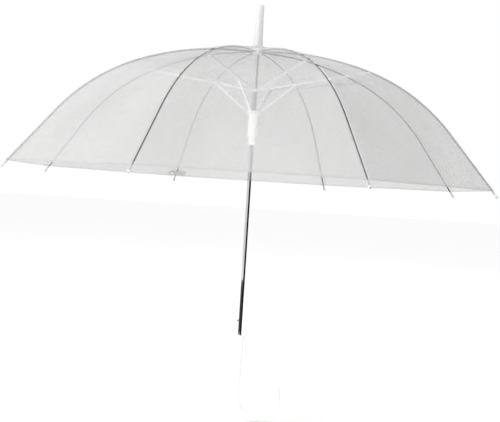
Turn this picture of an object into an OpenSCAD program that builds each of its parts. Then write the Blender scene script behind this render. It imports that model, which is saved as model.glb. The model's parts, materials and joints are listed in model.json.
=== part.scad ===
// Stick umbrella with eight ribs, a clear film canopy and a spring-assisted opening.
// Z runs up the shaft. The origin is on the shaft's axis at the handle's top face.
// Rib 1 stands at 22.5 degrees from +X and the hook opens towards +X.

/* [Canopy] */
// Radius from the shaft's axis to the end of a rib
tip_r = 490; // [440:1:560]
// Height of the rib ends
rim_z = 308; // [290:1:330]
// Distance from a rib's end back to the film's corner
film_back = 11; // [9:0.5:16]
// Thickness of the film
film_t = 0.6; // [0.4:0.1:1]

/* [Ribs] */
// Thickness of a rib's wire
rib_d = 3; // [2.4:0.1:3.4]
// Radius from the axis to a rib's middle joint
joint_r = 237; // [200:1:250]
// Height of the ribs' middle joints
joint_z = 533.5; // [520:0.5:540]
// Slope of a rib at its middle joint, degrees below level
joint_slope = 20.5; // [17:0.5:24]
// Slope of a rib at its end, degrees below level
tip_slope = 50.5; // [48:0.5:56]
// Thickness of the rivets in the rib joints
rivet_d = 1.5; // [1.2:0.1:1.8]
// Thickness of the flat eyes that sit in the hub slots
eye_t = 1.5; // [1.2:0.1:1.7]
// Diameter of a tip's ball
ball_d = 6.4; // [5:0.2:8]
// Diameter of a tip's sleeve
tip_d = 4.4; // [3.8:0.1:5]
// Length of a tip's sleeve to the middle of its ball
tip_len = 14; // [12.5:0.5:18]

/* [Shaft and hubs] */
// Diameter of the shaft
shaft_d = 8; // [7:0.5:9]
// Wall of the shaft's tube
shaft_wall = 0.6; // [0.5:0.1:1]
// Running clearance of a sliding hub on the shaft, all round
slide_gap = 0.1; // [0.05:0.01:0.1]
// Height of the notch pivots, where the ribs hinge
notch_z = 572; // [560:1:590]
// Radius of the pivot ring in the notch and in the upper slider
ring_r = 7; // [6.5:0.1:8]
// Thickness of the ring wires
wire_d = 1.2; // [1:0.1:1.4]
// Radius of the pivot ring in the runner
runner_ring_r = 11.5; // [11:0.1:13]
// Height of the runner's pivots
runner_z = 450; // [440:1:460]
// Length of the runner below its pivots
runner_len = 66; // [50:1:68]
// Diameter of the runner's grip
runner_d = 19.8; // [18:0.2:22]
// Distance from the upper slider's pivots to the strut rivets
strut_at = 83; // [70:1:90]

/* [Ferrule] */
// Height of the ferrule's base
ferrule_z = 585; // [580:1:600]
// Length of the ferrule
ferrule_len = 83.5; // [60:0.5:110]
// Diameter of the ferrule at its base
ferrule_d = 19.6; // [18:0.2:22]
// Diameter of the ferrule at its end
ferrule_end_d = 16; // [14:0.2:18]
// Length of the ferrule's plain end, without taper
ferrule_plain = 24; // [18:0.5:40]
// Diameter of the washer under the ferrule
washer_d = 26.4; // [24:0.2:30]

/* [Handle] */
// Diameter of the handle's collar
collar_d = 19; // [17:0.5:22]
// Length of the handle's collar
collar_len = 25; // [20:1:40]
// Length of the handle's straight part
handle_len = 124; // [110:1:150]
// Thickness of the hook
hook_d = 12.8; // [11:0.1:14]
// Radius of the hook's bend, at its middle line
hook_r = 42; // [38:0.5:52]
// Length of the hook's free end after the bend
hook_end = 20; // [12:1:30]
// Depth of the shaft in the handle
socket = 46; // [36:1:60]

/* [Release] */
// Height of the push button's middle
button_z = 12; // [11:0.5:13]
// Length of the push button
button_len = 14; // [12:0.5:15]
// How far the push button stands out of the shaft
button_out = 3.6; // [3:0.1:4.5]
// Height of the catch
catch_z = 29; // [27:0.5:31]

/* [Hidden] */
ribs = 8;
half = 180 / ribs;
ROUND = 48;
WIRE = 20;

// Hinge clearances
pin_gap = 0.08;      // eye or fork bore over its pin, all round
side_gap = 0.1;      // between the cheeks of a fork and what they straddle
slot_w = eye_t + 0.5;
groove_gap = 0.02;    // round a ring wire in its hub
film_gap = 0.4;      // between the film and the knuckles under it
tip_hole = 9;          // depth of the hole that takes a rib's end
tip_gap = 0.3;         // between a rib's end and the bottom of that hole
rod_gap = 0.05;        // round a rib's end in its tip
rod_into = 1.5;        // how far a rib's straight end reaches into its bend
seam_gap = 0.3;      // from the film's edge to the plane of its rib

// Rib shape: two arcs that meet at the middle joint, then a straight end
slider_z = 2 * joint_z - notch_z;
chord = norm([joint_r - ring_r, notch_z - joint_z]);
chord_slope = atan2(notch_z - joint_z, joint_r - ring_r);
root_slope = 2 * chord_slope - joint_slope;
inner_rad = chord / (2 * sin((joint_slope - root_slope) / 2));
span = [tip_r - joint_r, joint_z - rim_z];
bend = [sin(tip_slope) - sin(joint_slope), cos(joint_slope) - cos(tip_slope)];
det = bend[0] * sin(tip_slope) - bend[1] * cos(tip_slope);
outer_rad = (span[0] * sin(tip_slope) - span[1] * cos(tip_slope)) / det;
end_len = (bend[0] * span[1] - bend[1] * span[0]) / det;

function inner_at(s) = [ring_r + inner_rad * (sin(s) - sin(root_slope)),
                        notch_z + inner_rad * (cos(s) - cos(root_slope))];
function outer_at(s) = [joint_r + outer_rad * (sin(s) - sin(joint_slope)),
                        joint_z + outer_rad * (cos(s) - cos(joint_slope))];
function off(s) = [sin(s), cos(s)];

// Knuckles at the middle joint
drum_r = 2.4;
drum_w = 4.4;
tongue_r = 1.9;
tongue_w = 1.4;
tongue_gap = 0.1;
cheek_in = drum_w / 2 + side_gap;
cheek_out = cheek_in + 0.7;

// Stretchers and struts
bar_w = 3.4;
bar_h = 3;
eye_r = 1.9;
eye_reach = 4.3;
rod_start = 4.3;
strut_up = [ring_r + strut_at * cos(chord_slope), slider_z + strut_at * sin(chord_slope)];
strut_vec = [strut_up[0] - runner_ring_r, strut_up[1] - runner_z];
strut_len = norm(strut_vec);
strut_slope = atan2(strut_vec[1], strut_vec[0]);
strut_in = bar_w / 2 + side_gap;
strut_out = strut_in + 0.6;

// Film
film_low = max(rib_d / 2, drum_r) + film_gap;
film_high = film_low + film_t;
film_inner_r = 11.2;
apex_z = ferrule_z - 3.2;
blend_r = 62;
fold_gap = 0.5;

// Hubs
hub_d = 19;
slider_hub_d = 18.4;
flange_d = 27;
slider_low = 3;
slider_high = 3.2;
spring_wire = 1.3;
spring_d = 13.4;
spring_turns = 6;
runner_top = 2.2;
tail_len = 18;
tail_d = 14;

// --- small shapes -------------------------------------------------------------------

module at_rib(k) rotate([0, 0, half + (k - 1) * 2 * half]) children();
module at_gore(k) rotate([0, 0, k * 2 * half]) children();
module across(r, w) rotate([90, 0, 0]) cylinder(r = r, h = w, center = true, $fn = ROUND);
module along(r, w) rotate([0, 90, 0]) cylinder(r = r, h = w, $fn = WIRE);
module block(x0, x1, w, z0, z1) translate([x0, -w / 2, z0]) cube([x1 - x0, w, z1 - z0]);
module tilted(p, s) translate([p[0], 0, p[1]]) rotate([0, s, 0]) children();

module arc_wire(first, from, to, rad, r)
    translate([first[0] - rad * sin(from), 0, first[1] - rad * cos(from)])
        rotate([90, 0, 0]) rotate([0, 0, 90 - to])
            rotate_extrude(angle = to - from, $fn = 240) translate([rad, 0]) circle(r, $fn = WIRE);

module ring_wire(r, z, gap = 0) translate([0, 0, z])
    rotate_extrude($fn = ROUND) translate([r, 0]) circle(d = wire_d + 2 * gap, $fn = WIRE);

module eye(bore) difference() {
    across(eye_r, eye_t);
    across(bore / 2 + pin_gap, eye_t + 2);
}

module tube(r, bore, z0, z1) difference() {
    translate([0, 0, z0]) cylinder(r = r, h = z1 - z0, $fn = ROUND);
    translate([0, 0, z0 - 1]) cylinder(r = bore, h = z1 - z0 + 2, $fn = ROUND);
}

// --- shaft, ferrule and handle --------------------------------------------------------

shaft_top = ferrule_z + ferrule_len - 28;
ferrule_edge = 2.5;    // radius of the ferrule's rounded end
hook_in = 12;          // lean of the hook's free end, degrees
button_slot = button_len + 0.4;
button_w = 2.9;

module shaft() color("gainsboro") difference() {
    tube(shaft_d / 2, shaft_d / 2 - shaft_wall, -socket, shaft_top);
    block(-shaft_d, 0, button_w + 0.2, button_z - button_slot / 2, button_z + button_slot / 2);
    block(-shaft_d, 0, 2.6, catch_z - 3.4, catch_z + 2.6);
}

module ferrule() color("white") difference() {
    rotate_extrude($fn = ROUND) polygon(concat(
        [[0, ferrule_z], [ferrule_d / 2, ferrule_z],
         [ferrule_end_d / 2, ferrule_z + ferrule_len - ferrule_plain]],
        [for (a = [0:15:90]) [ferrule_end_d / 2 - ferrule_edge + ferrule_edge * cos(a),
                              ferrule_z + ferrule_len - ferrule_edge + ferrule_edge * sin(a)]],
        [[0, ferrule_z + ferrule_len]]));
    translate([0, 0, ferrule_z - 1])
        cylinder(d = shaft_d, h = shaft_top - ferrule_z + 1, $fn = ROUND);
}

module crown_washer() color("white") difference() {
    rotate_extrude($fn = ROUND) polygon([[0, ferrule_z - 2], [washer_d / 2, ferrule_z - 2],
        [washer_d / 2, ferrule_z - 1], [ferrule_d / 2 + 0.6, ferrule_z], [0, ferrule_z]]);
    translate([0, 0, ferrule_z - 3]) cylinder(d = shaft_d, h = 6, $fn = ROUND);
}

module handle() color("white") difference() {
    union() {
        translate([0, 0, -collar_len]) cylinder(d = collar_d, h = collar_len, $fn = ROUND);
        translate([0, 0, -handle_len])
            cylinder(d1 = hook_d, d2 = collar_d, h = handle_len - collar_len, $fn = ROUND);
        translate([hook_r, 0, -handle_len]) rotate([90, 0, 0]) {
            rotate([0, 0, 179]) rotate_extrude(angle = 181 + hook_in, $fn = 96)
                translate([hook_r, 0]) circle(d = hook_d, $fn = ROUND);
            rotate([0, 0, hook_in]) translate([hook_r, 0, 0]) rotate([-90, 0, 0]) {
                translate([0, 0, -0.5]) cylinder(d = hook_d - 0.1, h = 1, $fn = ROUND);
                cylinder(d1 = hook_d, d2 = hook_d - 1.6, h = hook_end, $fn = ROUND);
                translate([0, 0, hook_end]) sphere(d = hook_d - 1.6, $fn = ROUND);
            }
        }
    }
    translate([0, 0, -socket]) cylinder(d = shaft_d, h = socket + 1, $fn = ROUND);
}

// --- release button and catch ---------------------------------------------------------

leaf_x = -shaft_d / 4;   // outer face of the leaf spring inside the tube
leaf_t = 0.6;
foot_z = -40;
catch_out = 3.2;

module release_button() color("white") {
    z0 = button_z - button_len / 2;
    z1 = button_z + button_len / 2;
    block(-shaft_d / 2 - button_out, leaf_x - 0.8, button_w, z0, z1);
    block(leaf_x - 0.9, leaf_x - 0.42, button_w + 0.6, z0, z1);
    block(leaf_x - 0.5, leaf_x - 0.1, button_w, button_z - 1, button_z + 1);
}

module catch_spring() color("silver") {
    block(leaf_x, leaf_x + leaf_t, 3, foot_z, catch_z + 2);
    block(-shaft_d / 2 - catch_out, leaf_x + leaf_t / 2, 2, catch_z - 1.5, catch_z + 1.5);
}

// --- hubs -----------------------------------------------------------------------------

module slots(z0, z1) for (k = [1:ribs]) at_rib(k) block(4.9, 40, slot_w, z0, z1);

module top_notch() color("white") {
    difference() {
        tube(hub_d / 2, shaft_d / 2, notch_z - 2.6, ferrule_z - 2);
        slots(notch_z - 4, notch_z + 2.6);
        ring_wire(ring_r, notch_z, groove_gap);
    }
    ring_wire(ring_r, notch_z);
}

module upper_slider() color("white") {
    difference() {
        tube(slider_hub_d / 2, shaft_d / 2 + slide_gap, slider_z - slider_low, slider_z + slider_high);
        slots(slider_z - 2.4, slider_z + 6);
        ring_wire(ring_r, slider_z, groove_gap);
    }
    ring_wire(ring_r, slider_z);
}

module runner() color("white") {
    difference() {
        union() {
            tube(flange_d / 2, shaft_d / 2 + slide_gap, runner_z - 4.4, runner_z + runner_top);
            tube(runner_d / 2, shaft_d / 2 + slide_gap, runner_z - runner_len + tail_len,
                 runner_z - 4.4);
            tube(tail_d / 2, shaft_d / 2 + slide_gap, runner_z - runner_len,
                 runner_z - runner_len + tail_len);
        }
        for (k = [1:ribs]) at_rib(k) block(9, 40, slot_w, runner_z - 2.4, runner_z + 6);
        ring_wire(runner_ring_r, runner_z, groove_gap);
        block(-tail_d, 0, 3.4, runner_z - runner_len + 1.6, runner_z - runner_len + 8.5);
    }
    ring_wire(runner_ring_r, runner_z);
}

// --- spring between the upper slider and the runner -------------------------------------

spring_rings = 14;
spring_sides = 6;
spring_z0 = runner_z + runner_top + spring_wire / 2 + 0.05;
spring_z1 = slider_z - slider_low - spring_wire / 2 - 0.05;

function coil(i) = let (n = spring_turns * spring_rings, a = 360 * i / spring_rings)
    [(spring_d - spring_wire) / 2 * cos(a), (spring_d - spring_wire) / 2 * sin(a),
     spring_z0 + (spring_z1 - spring_z0) * i / n];

module main_spring() color("silver") {
    n = spring_turns * spring_rings;
    m = spring_sides;
    pts = [for (i = [0:n], j = [0:m - 1])
        let (a = 360 * i / spring_rings, b = 360 * j / m, c = coil(i))
        [c[0] + spring_wire / 2 * cos(b) * cos(a), c[1] + spring_wire / 2 * cos(b) * sin(a),
         c[2] + spring_wire / 2 * sin(b)]];
    skin = [for (i = [0:n - 1], j = [0:m - 1])
        [i * m + j, i * m + (j + 1) % m, (i + 1) * m + (j + 1) % m, (i + 1) * m + j]];
    polyhedron(pts, concat(skin, [[for (j = [m - 1:-1:0]) j]],
                           [[for (j = [0:m - 1]) n * m + j]]), convexity = 10);
}

// --- ribs -----------------------------------------------------------------------------

knuckle_reach = 4.6;
in_stop = asin(sin(joint_slope) - drum_r * 0.9 / inner_rad);
in_go = root_slope + 2 * asin(rod_start / 2 / inner_rad);

module rib_inner(k) at_rib(k) color("lightgray") {
    difference() {
        union() {
            translate([ring_r, 0, notch_z]) across(eye_r, eye_t);
            tilted([ring_r, notch_z], root_slope) block(0, rod_start + 1.5, eye_t, -1.1, 1.1);
            arc_wire(inner_at(in_go), in_go, in_stop, inner_rad, rib_d / 2);
            translate([joint_r, 0, joint_z]) across(drum_r, drum_w);
            translate([joint_r, 0, joint_z]) across(rivet_d / 2, 2 * cheek_out + 0.8);
        }
        translate([ring_r, 0, notch_z]) across(wire_d / 2 + pin_gap, eye_t + 2);
        tilted([joint_r, joint_z], joint_slope) difference() {
            block(-tongue_r - 0.3, 20, tongue_w + 2 * tongue_gap, -20, 20);
            across(rivet_d / 2, 10);
        }
    }
}

module rib_outer(k) at_rib(k) {
    color("lightgray") difference() {
        union() {
            tilted([joint_r, joint_z], joint_slope) {
                across(tongue_r, tongue_w);
                block(0, knuckle_reach + 1.5, tongue_w, -1.1, 1.1);
            }
            arc_wire(outer_at(out_go), out_go, tip_slope, outer_rad, rib_d / 2);
            tilted(outer_at(tip_slope), tip_slope) translate([-rod_into, 0, 0])
                along(rib_d / 2 - rod_gap, rod_into + end_len - tip_len + tip_hole - tip_gap);
        }
        translate([joint_r, 0, joint_z]) across(rivet_d / 2 + pin_gap, tongue_w + 2);
    }
    color("white") tilted([tip_r, rim_z], tip_slope) difference() {
        union() {
            translate([-tip_len, 0, 0]) along(tip_d / 2, tip_len);
            sphere(d = ball_d, $fn = ROUND);
        }
        translate([-tip_len - 1, 0, 0]) along(rib_d / 2, tip_hole + 1);
    }
}
out_go = joint_slope + 2 * asin(knuckle_reach / 2 / outer_rad);

// --- stretchers and struts --------------------------------------------------------------

module stretcher(k) at_rib(k) color("white") tilted([ring_r, slider_z], -chord_slope)
    difference() {
        union() {
            across(eye_r, eye_t);
            block(0, eye_reach + 1, eye_t, -1.1, 1.1);
            block(eye_reach, chord - 9, bar_w, -bar_h / 2, bar_h / 2);
            block(chord - 12, chord - 9, 2 * cheek_out, -bar_h / 2, bar_h / 2);
            for (s = [-1, 1]) translate([0, s * (cheek_in + cheek_out) / 2, 0]) {
                block(chord - 10, chord, cheek_out - cheek_in, -1.4, 1.4);
                translate([chord, 0, 0]) across(drum_r, cheek_out - cheek_in);
            }
            translate([strut_at, 0, 0]) across(rivet_d / 2, 2 * strut_out + 0.6);
        }
        across(wire_d / 2 + pin_gap, eye_t + 2);
        translate([chord, 0, 0]) across(rivet_d / 2 + pin_gap, 20);
        // the channel pressed into the bar, left out round the rivets
        block(strut_at + 8, chord - 16, bar_w - 1.4, -bar_h, bar_h / 2 - 0.7);
    }

module strut(k) at_rib(k) color("white") tilted([runner_ring_r, runner_z], -strut_slope)
    difference() {
        union() {
            across(1.8, eye_t);
            block(0, 8, eye_t, -1.2, 1.2);
            block(6.5, 9, 2 * strut_out, -2.4, 0.9);
            block(8, strut_len - 3.6, 2 * strut_out, -2.4, -1.8);
            for (s = [-1, 1]) translate([0, s * (strut_in + strut_out) / 2, 0]) {
                block(8, strut_len, strut_out - strut_in, -2.4, 0.9);
                translate([strut_len, 0, 0]) across(2.3, strut_out - strut_in);
            }
        }
        translate([strut_len, 0, 0]) across(rivet_d / 2 + pin_gap, 20);
        across(wire_d / 2 + pin_gap, eye_t + 2);
        block(-6, 0, eye_t + 2, -wire_d / 2 - pin_gap, wire_d / 2 + pin_gap);
    }

// --- film -------------------------------------------------------------------------------

// Height that the film is lifted over the ribs near the crown
function lift(r) = let (t = max(0, min(1, (blend_r - r) / (blend_r - film_inner_r))))
    (apex_z - film_high - inner_at(root_slope)[1]) * t * t * (3 - 2 * t) * 0.98;
inner_steps = 14;
outer_steps = 16;
film_s0 = root_slope + 2 * asin((film_inner_r - ring_r) / 2 / inner_rad);
fold_s = 2 * fold_gap / inner_rad * 57.3;

inner_line = [for (i = [0:inner_steps])
    let (s = film_s0 + (joint_slope - fold_s - film_s0) * i / inner_steps) [inner_at(s), s]];
film_end = end_len - film_back;
outer_line = concat(
    [for (i = [0:outer_steps])
        let (s = joint_slope + (tip_slope - joint_slope) * i / outer_steps) [outer_at(s), s]],
    [[outer_at(tip_slope) + film_end * [cos(tip_slope), -sin(tip_slope)], tip_slope]]);

function side(line, d) = [for (p = line)
    let (q = p[0] + d * off(p[1])) [cos(half) * q[0], q[1] + lift(p[0][0])]];
function backwards(v) = [for (i = [len(v) - 1:-1:0]) v[i]];

module gore(line) intersection() {
    rotate([90, 0, 0]) linear_extrude(height = 2 * tip_r * sin(half), center = true)
        polygon(concat(side(line, film_low), backwards(side(line, film_high))));
    translate([seam_gap / sin(half), 0, 0]) linear_extrude(height = 700)
        polygon([[0, 0], [tip_r, -tip_r * tan(half)], [tip_r, tip_r * tan(half)]]);
}

module film_inner(k) at_gore(k) color("aliceblue", 0.5) gore(inner_line);
module film_outer(k) at_gore(k) color("aliceblue", 0.5) gore(outer_line);

// --- strap that ties the closed canopy ----------------------------------------------------

strap_rib = 3;
strap_from_tip = 26;   // along the rib, from its end to the strap's middle
strap_half = 20;
strap_w = 12;
strap_t = 1.8;
strap_fall = 0.25;     // fall of the strap to each side, as the film above it falls
strap_top = -rib_d / 2 - 0.4;
snap_at = 13;
snap_r = 2.5;

module tie_strap() at_rib(strap_rib) color("white")
    tilted([tip_r - strap_from_tip * cos(tip_slope), rim_z + strap_from_tip * sin(tip_slope)],
           tip_slope) {
        difference() {
            rotate([90, 0, 90]) linear_extrude(height = strap_w, center = true)
                polygon([[0, strap_top], [strap_half, strap_top - strap_fall * strap_half],
                         [strap_half, strap_top - strap_t - strap_fall * strap_half],
                         [0, strap_top - strap_t],
                         [-strap_half, strap_top - strap_t - strap_fall * strap_half],
                         [-strap_half, strap_top - strap_fall * strap_half]]);
            at_snap() translate([0, 0, -3]) cylinder(r = snap_r, h = 6, $fn = ROUND);
        }
        at_snap() translate([0, 0, -strap_t - 0.6])
            cylinder(r = snap_r, h = strap_t + 0.9, $fn = ROUND);
    }
module at_snap() translate([0, snap_at, strap_top - strap_fall * snap_at])
    rotate([-atan(strap_fall), 0, 0]) children();

shaft();
ferrule();
crown_washer();
top_notch();
upper_slider();
main_spring();
runner();
handle();
release_button();
catch_spring();
tie_strap();
for (k = [1:ribs]) {
    rib_inner(k);
    rib_outer(k);
    stretcher(k);
    strut(k);
    film_inner(k);
    film_outer(k);
}
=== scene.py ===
import json
import math

import bpy
import numpy as np
from mathutils import Matrix, Vector


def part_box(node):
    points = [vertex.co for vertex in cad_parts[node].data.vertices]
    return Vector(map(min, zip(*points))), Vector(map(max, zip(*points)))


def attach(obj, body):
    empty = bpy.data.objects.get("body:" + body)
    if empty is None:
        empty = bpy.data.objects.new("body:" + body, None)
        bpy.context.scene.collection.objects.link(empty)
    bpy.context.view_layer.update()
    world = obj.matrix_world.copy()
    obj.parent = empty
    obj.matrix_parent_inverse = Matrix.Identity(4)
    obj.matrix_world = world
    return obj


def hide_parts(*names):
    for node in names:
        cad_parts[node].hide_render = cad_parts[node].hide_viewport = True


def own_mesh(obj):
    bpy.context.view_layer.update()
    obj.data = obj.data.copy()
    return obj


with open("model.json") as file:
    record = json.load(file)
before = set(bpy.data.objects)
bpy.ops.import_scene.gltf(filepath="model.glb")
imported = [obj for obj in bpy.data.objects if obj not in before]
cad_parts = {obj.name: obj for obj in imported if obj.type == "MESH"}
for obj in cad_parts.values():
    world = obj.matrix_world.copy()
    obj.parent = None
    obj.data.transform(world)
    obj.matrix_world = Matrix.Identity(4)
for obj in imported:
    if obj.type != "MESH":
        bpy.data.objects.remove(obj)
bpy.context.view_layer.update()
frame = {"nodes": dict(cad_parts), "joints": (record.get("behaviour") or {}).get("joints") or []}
scene = bpy.context.scene
joints = {joint["name"]: joint for joint in frame["joints"]}

# --- camera ---------------------------------------------------------------------------
# A long lens stands level with the rim of the canopy, a little under it, and is rolled
# so that the umbrella leans to the right.

RIM_Z = 0.308
CAMERA_AWAY = 1.9497
CAMERA_UP = -0.725
CAMERA_ROLL = 3.665
CAMERA_LENS = 69.43
CAMERA_SENSOR = 36
CAMERA_SHIFT = (0.0016, -0.0568)


def make_camera():
    data = bpy.data.cameras.new("camera")
    data.sensor_width = CAMERA_SENSOR
    data.lens = CAMERA_LENS
    data.shift_x, data.shift_y = CAMERA_SHIFT
    camera = bpy.data.objects.new("camera", data)
    up, roll = math.radians(CAMERA_UP), math.radians(CAMERA_ROLL)
    back = Vector((0, -math.cos(up), math.sin(up)))
    level = Vector((1, 0, 0))
    over = back.cross(level)
    right = math.cos(roll) * level + math.sin(roll) * over
    above = math.cos(roll) * over - math.sin(roll) * level
    turn = Matrix((right, above, back)).transposed().to_4x4()
    camera.matrix_world = Matrix.Translation(Vector((0, 0, RIM_Z)) + CAMERA_AWAY * back) @ turn
    scene.collection.objects.link(camera)
    scene.camera = camera


make_camera()

# --- studio ---------------------------------------------------------------------------
# A white sweep under a white sky, soft lights at the left, above and low in front, and
# black cards at the right and overhead, mostly for the dark edges that the steel mirrors.

scene.view_settings.view_transform = "Standard"
scene.cycles.transparent_max_bounces = 48
scene.cycles.max_bounces = 10


def new_mesh(name, points, faces):
    mesh = bpy.data.meshes.new(name)
    mesh.from_pydata([tuple(p) for p in points], [], faces)
    mesh.validate()
    mesh.update()
    mesh.polygons.foreach_set("use_smooth", [True] * len(mesh.polygons))
    piece = bpy.data.objects.new(name, mesh)
    scene.collection.objects.link(piece)
    return piece


def new_material(name):
    """A material with only a Principled shader and its output, and a short way to add nodes."""
    made = bpy.data.materials.new(name)
    made.use_nodes = True
    tree = made.node_tree
    shader = tree.nodes["Principled BSDF"]
    coords = tree.nodes.new("ShaderNodeTexCoord")

    def add(kind, inputs=(), **settings):
        node = tree.nodes.new("ShaderNode" + kind)
        for key, value in settings.items():
            setattr(node, key, value)
        for key, value in dict(inputs).items():
            if isinstance(value, bpy.types.NodeSocket):
                tree.links.new(value, node.inputs[key])
            else:
                node.inputs[key].default_value = value
        return node

    def wire(value, socket):
        tree.links.new(value, shader.inputs[socket])

    return made, shader, coords.outputs["Object"], add, wire


def make_studio():
    floor_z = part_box("handle")[0].z - 0.0004
    far = 30
    floor = new_mesh(
        "floor",
        [(-far, -far, floor_z), (far, -far, floor_z), (far, far, floor_z), (-far, far, floor_z)],
        [(0, 1, 2, 3)],
    )
    made, shader, where, add, wire = new_material("paper_floor")
    grain = add("TexNoise", {"Vector": where, "Scale": 3.0, "Detail": 2.0})
    tone = add("ValToRGB", {"Fac": grain.outputs["Fac"]})
    tone.color_ramp.elements[0].color = (0.95, 0.95, 0.95, 1)
    tone.color_ramp.elements[1].color = (0.98, 0.98, 0.98, 1)
    wire(tone.outputs["Color"], "Base Color")
    shader.inputs["Roughness"].default_value = 0.9
    floor.data.materials.append(made)

    world = bpy.data.worlds.new("white_sky")
    world.use_nodes = True
    world.node_tree.nodes["Background"].inputs["Color"].default_value = (1, 1, 1, 1)
    world.node_tree.nodes["Background"].inputs["Strength"].default_value = 1.0
    scene.world = world

    def lamp(name, place, size, power, aim=(0, 0, 0.35)):
        data = bpy.data.lights.new(name, "AREA")
        data.shape = "RECTANGLE"
        data.size, data.size_y = size
        data.energy = power
        light = bpy.data.objects.new(name, data)
        light.location = place
        aim = Vector(aim) - Vector(place)
        light.rotation_euler = aim.to_track_quat("-Z", "Y").to_euler()
        light.visible_camera = False
        scene.collection.objects.link(light)
        return light

    lamp("key_light", (-2.6, -1.8, 1.9), (2.2, 2.2), 42)
    lamp("top_light", (0.3, 0.6, 3.4), (3.0, 3.0), 40).visible_glossy = False
    lamp("low_light", (-0.5, -1.3, -0.05), (1.0, 0.2), 3).visible_glossy = False
    inside = bpy.data.collections.new("inside_the_canopy")
    for name, node in frame["nodes"].items():
        if name.startswith(("stretcher", "strut", "runner", "upper_slider", "top_notch")):
            inside.objects.link(node)
    glow = lamp("inside_light", (-0.3, -0.75, -0.1), (0.5, 0.3), 6, aim=(0, 0, 0.5))
    glow.light_linking.receiver_collection = inside

    # the cards are a stretch of a tall drum round the right-hand side, and its floor
    card_near, card_far, left_span = (math.radians(a) for a in (-80, 56, 110))
    steps = 24
    near, left_near, radius, low, high = 0.25, 1.2, 3.2, floor_z + 0.001, 2.8
    wall, ground, left = [], [], []
    for i in range(steps + 1):
        a = card_near + (card_far - card_near) * i / steps
        b = card_near - left_span * i / steps
        wall += [(radius * math.cos(a), radius * math.sin(a), z) for z in (low, high)]
        ground += [(r * math.cos(a), r * math.sin(a), low) for r in (near, radius)]
        left += [(r * math.cos(b), r * math.sin(b), low) for r in (left_near, radius)]
    strip = [(2 * i, 2 * i + 1, 2 * i + 3, 2 * i + 2) for i in range(steps)]
    card = new_mesh("black_card", wall, strip)
    low_card = new_mesh("black_low_card", ground, strip)
    left_card = new_mesh("black_left_card", left, strip)
    roof = [(x, y, high) for x, y in ((-1.4, -1.5), (3.4, -1.5), (3.4, 4.5), (-1.4, 4.5))]
    high_card = new_mesh("black_high_card", roof, [(0, 1, 2, 3)])
    made, shader, where, add, wire = new_material("black_felt")
    fuzz = add("TexNoise", {"Vector": where, "Scale": 40.0})
    tone = add("ValToRGB", {"Fac": fuzz.outputs["Fac"]})
    tone.color_ramp.elements[0].color = (0.006, 0.006, 0.006, 1)
    tone.color_ramp.elements[1].color = (0.012, 0.012, 0.012, 1)
    wire(tone.outputs["Color"], "Base Color")
    shader.inputs["Roughness"].default_value = 1.0
    cards = (card, low_card, left_card, high_card)
    for piece in cards:
        piece.data.materials.append(made)
        piece.visible_camera = piece.visible_transmission = piece.visible_shadow = False
        piece.visible_diffuse = False


make_studio()

# --- shaft ----------------------------------------------------------------------------
# A drawn steel tube, 8 mm across, slotted for the catch and the button and plated with
# bright chrome. Fine draw lines run along it.


def plated_steel(name, colour, rough, lines=900.0, depth=0.00002, metal=1.0):
    """Bright metal with draw lines along Z and faint cloudy wear in its polish."""
    made, shader, where, add, wire = new_material(name)
    stretch = add("Mapping", {"Vector": where, "Scale": (1, 1, 0.02)})
    drawn = add("TexNoise", {"Vector": stretch.outputs["Vector"], "Scale": lines, "Detail": 2.0})
    cloud = add("TexNoise", {"Vector": where, "Scale": 60.0, "Detail": 3.0})
    tone = add("ValToRGB", {"Fac": cloud.outputs["Fac"]})
    tone.color_ramp.elements[0].color = (*[c * 0.9 for c in colour], 1)
    tone.color_ramp.elements[1].color = (*colour, 1)
    wire(tone.outputs["Color"], "Base Color")
    polish = add("MapRange", {"Value": drawn.outputs["Fac"],
                              "To Min": rough * 0.7, "To Max": rough * 1.5})
    wire(polish.outputs["Result"], "Roughness")
    bump = add("Bump", {"Height": drawn.outputs["Fac"], "Strength": 0.3, "Distance": depth})
    wire(bump.outputs["Normal"], "Normal")
    shader.inputs["Metallic"].default_value = metal
    return made


def dress(node, material, others=()):
    """Puts a material on a node. Each other is a material and a test on a face's centre."""
    piece = frame["nodes"][node]
    piece.data.materials.clear()
    piece.data.materials.append(material)
    for number, (other, test) in enumerate(others, start=1):
        piece.data.materials.append(other)
        for face in piece.data.polygons:
            if test(face.center):
                face.material_index = number
    return piece


chrome = plated_steel("chrome_plate", (0.66, 0.66, 0.68), 0.04, depth=0.000005)
dress("shaft", chrome)

# --- ferrule, washer, button and handle ------------------------------------------------
# White polystyrene mouldings. The ferrule and the washer clamp the film at the crown,
# and the hooked handle is pushed on the shaft. They shine, with faint flow marks. The ferrule
# and the washer are given a grey copy of the white moulding, which is painted shade.


def moulded_plastic(name, colour, rough=0.22, grain=220.0):
    made, shader, where, add, wire = new_material(name)
    flow = add("TexNoise", {"Vector": where, "Scale": 18.0, "Detail": 3.0})
    tone = add("ValToRGB", {"Fac": flow.outputs["Fac"]})
    tone.color_ramp.elements[0].position = 0.3
    tone.color_ramp.elements[0].color = (*[c * 0.965 for c in colour], 1)
    tone.color_ramp.elements[1].position = 0.7
    tone.color_ramp.elements[1].color = (*colour, 1)
    wire(tone.outputs["Color"], "Base Color")
    skin = add("TexNoise", {"Vector": where, "Scale": grain, "Detail": 2.0})
    polish = add("MapRange", {"Value": skin.outputs["Fac"],
                              "To Min": rough * 0.8, "To Max": rough * 1.3})
    wire(polish.outputs["Result"], "Roughness")
    bump = add("Bump", {"Height": skin.outputs["Fac"], "Strength": 0.12, "Distance": 0.0001})
    wire(bump.outputs["Normal"], "Normal")
    shader.inputs["IOR"].default_value = 1.55
    shader.inputs["Subsurface Weight"].default_value = 0.12
    shader.inputs["Subsurface Radius"].default_value = (0.004, 0.004, 0.004)
    shader.inputs["Subsurface Scale"].default_value = 1.0
    return made


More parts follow.
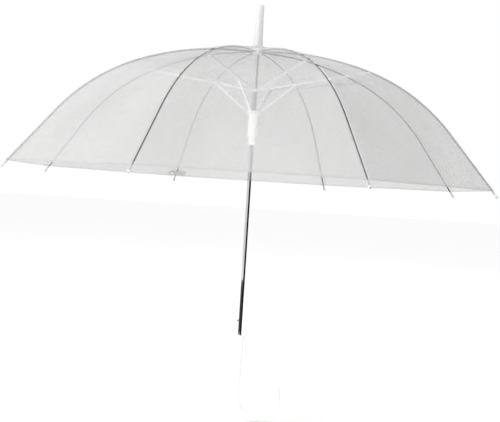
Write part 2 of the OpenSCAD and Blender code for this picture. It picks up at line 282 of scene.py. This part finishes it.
white_moulding = moulded_plastic("white_moulding", (0.96, 0.96, 0.955))
# the ferrule and the washer use the white moulding made grey, a painted shade
top_moulding = moulded_plastic("top_moulding", (0.7, 0.7, 0.7))
for node in ("handle", "release_button"):
    dress(node, white_moulding)
for node in ("ferrule", "crown_washer"):
    dress(node, top_moulding)

# --- catch ----------------------------------------------------------------------------
# A strip of blued spring steel inside the tube. Its spur stands out over the collar and
# holds the runner when the canopy is closed.

spring_steel = plated_steel("spring_steel", (0.42, 0.42, 0.44), 0.25, lines=400.0)
dress("catch_spring", spring_steel)

# --- notch, slider and runner ---------------------------------------------------------
# Nylon hubs, one fixed at the crown and two that slide. Each is slotted for eight flat
# eyes, which turn on a ring of steel wire. The runner has a sleeve to hold and a tail.

nylon = moulded_plastic("nylon", (0.92, 0.92, 0.915), rough=0.3, grain=300.0)
RING_WIRE = 0.0012


def on_ring(joint):
    """A test for faces of the wire ring that carries a joint."""
    x, y, z = joints[joint]["pos_m"]
    ring_r = math.hypot(x, y)
    return lambda c: math.hypot(math.hypot(c.x, c.y) - ring_r, c.z - z) < RING_WIRE / 2 + 0.00001


dress("top_notch", nylon, [(spring_steel, on_ring("fold"))])
dress("upper_slider", nylon, [(spring_steel, on_ring("slider_pivot"))])
dress("runner", nylon)

# --- main spring ----------------------------------------------------------------------
# An open coil of steel wire round the shaft, between the slider and the runner. The real one is
# squeezed as the runner comes up against the slider. This coil rides on the slider at one
# length.

SPRING_TURNS = 6
SPRING_WIRE = 0.0013


def sweep_tree():
    """Geometry Nodes that put a round wire on a path: a polyline in, a tube out."""
    tree = bpy.data.node_groups.new("wire_on_path", "GeometryNodeTree")
    face = tree.interface
    face.new_socket("Geometry", in_out="INPUT", socket_type="NodeSocketGeometry")
    face.new_socket("Wire radius", in_out="INPUT", socket_type="NodeSocketFloat")
    face.new_socket("Sides", in_out="INPUT", socket_type="NodeSocketInt")
    face.new_socket("Material", in_out="INPUT", socket_type="NodeSocketMaterial")
    face.new_socket("Geometry", in_out="OUTPUT", socket_type="NodeSocketGeometry")
    nodes, link = tree.nodes, tree.links.new
    start, end = nodes.new("NodeGroupInput"), nodes.new("NodeGroupOutput")
    path = nodes.new("GeometryNodeMeshToCurve")
    ring = nodes.new("GeometryNodeCurvePrimitiveCircle")
    tube = nodes.new("GeometryNodeCurveToMesh")
    tube.inputs["Fill Caps"].default_value = True
    real = nodes.new("GeometryNodeRealizeInstances")
    soft = nodes.new("GeometryNodeSetShadeSmooth")
    paint = nodes.new("GeometryNodeSetMaterial")
    link(start.outputs["Geometry"], path.inputs["Mesh"])
    link(start.outputs["Wire radius"], ring.inputs["Radius"])
    link(start.outputs["Sides"], ring.inputs["Resolution"])
    link(path.outputs["Curve"], tube.inputs["Curve"])
    link(ring.outputs["Curve"], tube.inputs["Profile Curve"])
    link(tube.outputs["Mesh"], soft.inputs["Geometry"])
    link(soft.outputs["Geometry"], real.inputs["Geometry"])
    link(real.outputs["Geometry"], paint.inputs["Geometry"])
    link(start.outputs["Material"], paint.inputs["Material"])
    link(paint.outputs["Geometry"], end.inputs["Geometry"])
    return tree


def run_tree(piece, tree, **values):
    """Runs a tree on a piece with the given inputs and keeps the result as its own mesh."""
    modifier = piece.modifiers.new("made", "NODES")
    modifier.node_group = tree
    for item in tree.interface.items_tree:
        if item.in_out == "INPUT" and item.name.replace(" ", "_").lower() in values:
            modifier[item.identifier] = values[item.name.replace(" ", "_").lower()]
    bpy.context.view_layer.update()
    result = piece.evaluated_get(bpy.context.evaluated_depsgraph_get())
    mesh = bpy.data.meshes.new_from_object(result)
    piece.modifiers.clear()
    piece.data = mesh
    mesh.name = piece.name
    return piece


WIRE_ON_PATH = sweep_tree()


def wire_piece(name, points, radius, material, sides=12):
    edges = [(i, i + 1) for i in range(len(points) - 1)]
    mesh = bpy.data.meshes.new(name)
    mesh.from_pydata([tuple(p) for p in points], edges, [])
    piece = bpy.data.objects.new(name, mesh)
    scene.collection.objects.link(piece)
    return run_tree(piece, WIRE_ON_PATH, wire_radius=radius, sides=sides, material=material)


def make_spring():
    low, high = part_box("main_spring")
    coil_r = high.x - SPRING_WIRE / 2
    bottom, top = low.z + SPRING_WIRE / 2, high.z - SPRING_WIRE / 2
    per_turn = 36
    points = []
    for i in range(int(SPRING_TURNS * per_turn) + 1):
        t = i / (SPRING_TURNS * per_turn)
        a = 2 * math.pi * i / per_turn
        points.append((coil_r * math.cos(a), coil_r * math.sin(a), bottom + (top - bottom) * t))
    spring = wire_piece("open_coil", points, SPRING_WIRE / 2, spring_steel)
    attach(spring, "upper_slider")
    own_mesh(spring)
    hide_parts("main_spring")
    bpy.data.collections["inside_the_canopy"].objects.link(spring)


make_spring()

# --- ribs -----------------------------------------------------------------------------
# Eight ribs of round steel wire, each in two lengths that bend at the middle joint, where
# the stretcher is riveted on. A tip is pushed on each end: a clear sleeve and a white ball. The
# ball's grey colour is painted shade.

RIBS = range(1, 9)
TIP_R = 0.490
TIP_SLOPE = 50.5
TIP_SLEEVE = 0.014
TIP_BALL = 0.0032
RIB_WIRE = 0.003

rib_steel = plated_steel("rib_steel", (0.34, 0.34, 0.35), 0.1, lines=500.0)
# the white tip balls get a grey base colour, which is painted shade on white plastic
tip_moulding = moulded_plastic("tip_moulding", (0.62, 0.62, 0.62), rough=0.18)


def frosted_sleeve():
    made, shader, where, add, wire = new_material("tip_sleeve")
    cloud = add("TexNoise", {"Vector": where, "Scale": 300.0, "Detail": 2.0})
    tone = add("MapRange", {"Value": cloud.outputs["Fac"], "To Min": 0.22, "To Max": 0.36})
    wire(tone.outputs["Result"], "Alpha")
    tint = add("ValToRGB", {"Fac": cloud.outputs["Fac"]})
    tint.color_ramp.elements[0].color = (0.8, 0.8, 0.8, 1)
    tint.color_ramp.elements[1].color = (0.88, 0.88, 0.88, 1)
    wire(tint.outputs["Color"], "Base Color")
    shader.inputs["Roughness"].default_value = 0.25
    return made


tip_sleeve = frosted_sleeve()


def from_tip(c, k):
    """How far a point is from a rib's end, along the rib, and how far off its line."""
    turn = math.radians(22.5 + 45 * (k - 1))
    out = c.x * math.cos(turn) + c.y * math.sin(turn) - TIP_R
    side = c.y * math.cos(turn) - c.x * math.sin(turn)
    cos, sin = math.cos(math.radians(TIP_SLOPE)), math.sin(math.radians(TIP_SLOPE))
    up = c.z - RIM_Z
    return out * cos - up * sin, math.hypot(out * sin + up * cos, side)


def is_ball(k):
    def test(c):
        along, off = from_tip(c, k)
        return along > -TIP_BALL and off > RIB_WIRE / 2 - 0.00003
    return test


def is_sleeve(k):
    def test(c):
        along, off = from_tip(c, k)
        return -TIP_SLEEVE - 0.0002 < along <= -TIP_BALL and off > RIB_WIRE / 2 - 0.00003
    return test


for k in RIBS:
    dress(f"rib_inner_{k}", rib_steel)
    dress(f"rib_outer_{k}", rib_steel,
          [(tip_moulding, is_ball(k)), (tip_sleeve, is_sleeve(k))])

# --- stretchers and struts ------------------------------------------------------------
# Pressed steel channels, zinc plated. Eight long ones push the ribs out from the slider,
# and eight short ones tie them to the runner.

zinc = plated_steel("zinc_plate", (0.96, 0.96, 0.965), 0.34, lines=260.0, metal=0.6)
for k in RIBS:
    dress(f"stretcher_{k}", zinc)
    dress(f"strut_{k}", zinc)

# --- film -----------------------------------------------------------------------------
# Eight gores of clear frosted film, welded to each other along the ribs, clamped at the
# crown and hemmed at the rim. Each is in two pieces that meet at the ribs' middle joints.

JOINT_SLOPE = 20.5
FILM_BACK = 0.011
FILM_LIFT = 0.0030
FILM_T = 0.0003
FILM_ROWS = {"inner": 30, "outer": 42}
FILM_COLUMNS = 40
HALF = math.radians(22.5)
ARC_SHARE = 0.66
DISH = 0.0016
CREASE = 0.0005


class RibLine:
    """The line of a rib in its own plane: two arcs that meet at the joint, then straight."""

    def __init__(self):
        hub, mid = joints["fold"]["pos_m"], joints["rib_flex_1"]["pos_m"]
        self.hub = np.array([math.hypot(hub[0], hub[1]), hub[2]])
        self.mid = np.array([math.hypot(mid[0], mid[1]), mid[2]])
        chord = self.mid - self.hub
        self.joint = math.radians(JOINT_SLOPE)
        self.root = 2 * math.atan2(-chord[1], chord[0]) - self.joint
        self.inner_rad = np.linalg.norm(chord) / (2 * math.sin((self.joint - self.root) / 2))
        self.end = math.radians(TIP_SLOPE)
        span = np.array([TIP_R - self.mid[0], self.mid[1] - RIM_Z])
        bend = np.array([math.sin(self.end) - math.sin(self.joint),
                         math.cos(self.joint) - math.cos(self.end)])
        det = bend[0] * math.sin(self.end) - bend[1] * math.cos(self.end)
        self.outer_rad = (span[0] * math.sin(self.end) - span[1] * math.cos(self.end)) / det
        self.straight = (bend[0] * span[1] - bend[1] * span[0]) / det

    def inner(self, share, start_r):
        first = self.root + 2 * math.asin((start_r - self.hub[0]) / 2 / self.inner_rad)
        s = first + (self.joint - first) * share
        at = self.hub + self.inner_rad * np.array([math.sin(s) - math.sin(self.root),
                                                   math.cos(s) - math.cos(self.root)])
        return at, s

    def outer_arc(self, share):
        s = self.joint + (self.end - self.joint) * share
        at = self.mid + self.outer_rad * np.array([math.sin(s) - math.sin(self.joint),
                                                   math.cos(s) - math.cos(self.joint)])
        return at, s

    def outer_end(self, along):
        at, s = self.outer_arc(1)
        return at + along * np.array([math.cos(s), -math.sin(s)]), s


line = RibLine()
CROWN_R = 0.0112
CROWN_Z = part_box("crown_washer")[0].z - 0.0009
BLEND_R = 0.062


def lifted(point, slope, above):
    """A film point over a rib's line, tented up to the washer near the crown."""
    q = point + above * np.array([math.sin(slope), math.cos(slope)])
    t = min(1, max(0, (BLEND_R - point[0]) / (BLEND_R - CROWN_R)))
    top = line.hub[1] + FILM_LIFT
    return np.array([q[0], q[1] + (CROWN_Z - top) * t * t * (3 - 2 * t)])


def sag(radius, across, k):
    """How far the film stands off its straight run between two ribs, in metres."""
    out = (radius - CROWN_R) / (TIP_R - CROWN_R)
    dish = -DISH * math.sin(math.pi * min(1, max(0, out))) * (1 - across * across)
    pull = math.sin(9 * across + 5 * out + 1.7 * k) * math.sin(14 * across * out + 2.3 * k)
    edge = (1 - across * across) * min(1, out * 4)
    return dish + CREASE * pull * edge


def gore_grid(k, part, rows, columns, above=FILM_LIFT):
    """Rows of points down a gore, from the crown to the joint or from the joint to the hem."""
    turn = math.radians(45 * k)
    mid_dir = np.array([math.cos(turn), math.sin(turn), 0])
    tan_dir = np.array([-math.sin(turn), math.cos(turn), 0])
    grid = []
    arc_rows = rows if part == "inner" else int(rows * ARC_SHARE)
    for i in range(rows + 1):
        row = []
        for j in range(columns + 1):
            v = -1 + 2 * j / columns
            if part == "inner":
                at, s = line.inner(i / rows, CROWN_R)
            elif i <= arc_rows:
                at, s = line.outer_arc(i / arc_rows)
            else:
                end = line.straight - FILM_BACK
                at, s = line.outer_end(end * (i - arc_rows) / (rows - arc_rows))
            q = lifted(at, s, above)
            r = q[0] * math.cos(HALF)
            wave = sag(at[0], v, k)
            r += wave * math.sin(s)
            z = q[1] + wave * math.cos(s)
            row.append(r * mid_dir + v * q[0] * math.sin(HALF) * tan_dir + np.array([0, 0, z]))
        grid.append(row)
    return np.array(grid)


def shell_from_grid(name, grid, thick):
    """A closed thin shell round a grid of points, with two maps: metres across and down."""
    rows, cols = grid.shape[0], grid.shape[1]
    du = np.gradient(grid, axis=0)
    dv = np.gradient(grid, axis=1)
    normal = np.cross(du, dv)
    normal /= np.linalg.norm(normal, axis=2, keepdims=True)
    if normal[:, :, 2].mean() < 0:
        normal = -normal
    top = (grid + normal * thick / 2).reshape(-1, 3)
    low = (grid - normal * thick / 2).reshape(-1, 3)
    n = rows * cols

    def at(i, j, side):
        return side * n + i * cols + j

    faces = []
    for i in range(rows - 1):
        for j in range(cols - 1):
            a, b, c, d = at(i, j, 0), at(i + 1, j, 0), at(i + 1, j + 1, 0), at(i, j + 1, 0)
            faces.append((a, b, c, d))
            faces.append(tuple(x + n for x in (d, c, b, a)))
    for i in range(rows - 1):
        faces.append((at(i, 0, 0), at(i, 0, 1), at(i + 1, 0, 1), at(i + 1, 0, 0)))
        j = cols - 1
        faces.append((at(i, j, 0), at(i + 1, j, 0), at(i + 1, j, 1), at(i, j, 1)))
    for j in range(cols - 1):
        faces.append((at(0, j, 0), at(0, j + 1, 0), at(0, j + 1, 1), at(0, j, 1)))
        i = rows - 1
        faces.append((at(i, j, 0), at(i, j, 1), at(i, j + 1, 1), at(i, j + 1, 0)))
    piece = new_mesh(name, np.vstack([top, low]), faces)
    across = np.linalg.norm(grid - grid[:, :1], axis=2)
    width = across[:, -1:]
    edge = np.minimum(across, width - across).reshape(-1)
    step = np.linalg.norm(np.diff(grid, axis=0), axis=2)
    down = np.vstack([np.zeros((1, cols)), np.cumsum(step, axis=0)])
    to_hem = (down[-1:] - down) if "outer" in name else np.full_like(down, 1.0)
    for label, values in (("edge_m", edge), ("hem_m", to_hem.reshape(-1))):
        spot = piece.data.attributes.new(label, "FLOAT", "POINT")
        spot.data.foreach_set("value", np.tile(values, 2).astype(np.float32))
    if piece.data.polygons[0].normal.z < 0:
        piece.data.flip_normals()
    return piece


def film_material(name, cover, seam_cover):
    """Frosted film: hazy between the ribs and clear where a weld has smoothed it."""
    made, shader, where, add, wire = new_material(name)
    edge = add("Attribute", attribute_name="edge_m")
    haze = add("TexNoise", {"Vector": where, "Scale": 5.0, "Detail": 2.0})
    tone = add("ValToRGB", {"Fac": haze.outputs["Fac"]})
    tone.color_ramp.elements[0].position = 0.35
    tone.color_ramp.elements[0].color = (0.53, 0.53, 0.525, 1)
    tone.color_ramp.elements[1].position = 0.65
    tone.color_ramp.elements[1].color = (0.58, 0.58, 0.575, 1)
    wire(tone.outputs["Color"], "Base Color")
    weld = add("MapRange", {"Value": edge.outputs["Fac"], "From Min": 0.0022, "From Max": 0.0034,
                            "To Min": seam_cover, "To Max": cover})
    hem = add("Attribute", attribute_name="hem_m")
    band = add("MapRange", {"Value": hem.outputs["Fac"], "From Min": 0.005, "From Max": 0.006,
                            "To Min": 0.04, "To Max": 0.0})
    both = add("Math", {0: weld.outputs["Result"], 1: band.outputs["Result"]}, operation="ADD")
    wire(both.outputs["Value"], "Alpha")
    frost = add("TexNoise", {"Vector": where, "Scale": 900.0, "Detail": 1.0})
    rough = add("MapRange", {"Value": frost.outputs["Fac"], "To Min": 0.22, "To Max": 0.34})
    wire(rough.outputs["Result"], "Roughness")
    wrinkle = add("TexNoise", {"Vector": where, "Scale": 22.0, "Detail": 3.0, "Distortion": 0.6})
    bump = add("Bump", {"Height": wrinkle.outputs["Fac"], "Strength": 0.25, "Distance": 0.002})
    wire(bump.outputs["Normal"], "Normal")
    shader.inputs["IOR"].default_value = 1.48
    shader.inputs["Specular IOR Level"].default_value = 0.3
    return made


film = film_material("frosted_film", 0.38, 0.03)
weld_film = film_material("weld_film", 0.04, 0.03)
SEAM_W = 0.0052
SEAM_ABOVE = 0.0004
SEAM_T = 0.0002
SEAM_START = 0.004


def make_seam(k, part):
    """The welded seam over a rib: a narrow clear strip that falls away to both sides."""
    turn = math.radians(22.5 + 45 * (k - 1))
    out_dir = np.array([math.cos(turn), math.sin(turn), 0])
    tan_dir = np.array([-math.sin(turn), math.cos(turn), 0])
    rows, columns = 40, 4
    grid = []
    for i in range(rows + 1):
        if part == "inner":
            at, s = line.inner(i / rows, CROWN_R + SEAM_START)
        elif i <= rows * ARC_SHARE:
            at, s = line.outer_arc(i / (rows * ARC_SHARE))
        else:
            share = (i / rows - ARC_SHARE) / (1 - ARC_SHARE)
            at, s = line.outer_end((line.straight - FILM_BACK) * share)
        q = lifted(at, s, FILM_LIFT + SEAM_ABOVE)
        row = []
        for j in range(columns + 1):
            y = SEAM_W * (j / columns - 0.5)
            fall = abs(y) * math.tan(HALF) * math.tan(s)
            row.append(q[0] * out_dir + y * tan_dir + np.array([0, 0, q[1] - fall]))
        grid.append(row)
    piece = shell_from_grid(f"seam_{part}_{k}", np.array(grid), SEAM_T)
    piece.data.materials.append(weld_film)
    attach(piece, f"rib_{part}_{k}")
    return piece


def make_gore(k):
    made = []
    for part, rows in FILM_ROWS.items():
        grid = gore_grid(k, part, rows, FILM_COLUMNS)
        piece = shell_from_grid(f"gore_{part}_{k}", grid, FILM_T)
        piece.data.materials.append(film)
        body = f"film_{part}_{k}"
        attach(piece, body)
        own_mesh(piece)
        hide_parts(body)
        made.append(piece)
    return made


for k in RIBS:
    for piece in make_gore(k):
        part = "inner" if "inner" in piece.name else "outer"
        grid = gore_grid(k, part, 20, 20)
        make_seam(k, part)

# --- strap ----------------------------------------------------------------------------
# A short strap of the same film, welded at one rib end, that snaps round the closed
# canopy. It hangs inside the rim while the umbrella is open.

STRAP_FROM_TIP = 0.026
STRAP_HALF = 0.0194
STRAP_W = 0.0116
STRAP_FALL = 0.25
STRAP_DROP = 0.0028
STRAP_T = 0.0006
SNAP_AT = 0.013
SNAP_R = 0.0025


def make_strap():
    turn = math.radians(22.5 + 45 * 2)
    out_dir = np.array([math.cos(turn), math.sin(turn), 0])
    tan_dir = np.array([-math.sin(turn), math.cos(turn), 0])
    cos, sin = math.cos(math.radians(TIP_SLOPE)), math.sin(math.radians(TIP_SLOPE))
    along = cos * out_dir + np.array([0, 0, -sin])
    over = sin * out_dir + np.array([0, 0, cos])
    middle = TIP_R * out_dir + np.array([0, 0, RIM_Z]) - STRAP_FROM_TIP * along
    rows, columns = 8, 40
    grid = []
    for i in range(rows + 1):
        row = []
        for j in range(columns + 1):
            y = STRAP_HALF * (2 * j / columns - 1)
            soft = math.sqrt(y * y + 0.002 ** 2) - 0.002
            drop = STRAP_DROP + STRAP_FALL * soft + 0.0002 * math.sin(500 * y)
            row.append(middle + STRAP_W * (i / rows - 0.5) * along + y * tan_dir - drop * over)
        grid.append(row)
    grid = np.array(grid)
    strap = shell_from_grid("strap_strip", grid, STRAP_T)
    strap.data.materials.append(film_material("strap_film", 0.55, 0.75))
    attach(strap, "rib_outer_3")
    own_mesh(strap)
    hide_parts("tie_strap")

    # the press stud is a turned cap on each face of the strap
    normal = Vector(over + STRAP_FALL * tan_dir).normalized()
    drop = STRAP_DROP + STRAP_FALL * (SNAP_AT - 0.001)
    centre = Vector(middle + SNAP_AT * tan_dir - drop * over)
    outline = [(0, 0.0011), (0.0012, 0.0011), (0.0016, 0.0008), (0.0023, 0.0007),
               (SNAP_R, 0.0004), (SNAP_R, -0.0004), (0.0023, -0.0007), (0.0014, -0.0008),
               (0.0010, -0.0013), (0, -0.0013)]
    count = 32
    upright = normal.to_track_quat("Z", "Y").to_matrix()
    points, faces = [centre + normal * outline[0][1]], []
    for r, h in outline[1:-1]:
        for j in range(count):
            a = 2 * math.pi * j / count
            points.append(centre + upright @ Vector((r * math.cos(a), r * math.sin(a), h)))
    points.append(centre + normal * outline[-1][1])
    last = len(points) - 1
    for j in range(count):
        n = (j + 1) % count
        faces.append((0, 1 + j, 1 + n))
        for i in range(len(outline) - 3):
            a, b = 1 + i * count, 1 + (i + 1) * count
            faces.append((a + j, b + j, b + n, a + n))
        a = 1 + (len(outline) - 3) * count
        faces.append((last, a + n, a + j))
    stud = new_mesh("strap_stud", points, faces)
    stud.data.materials.append(white_moulding)
    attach(stud, "rib_outer_3")
    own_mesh(stud)
    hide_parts("tie_strap")


make_strap()
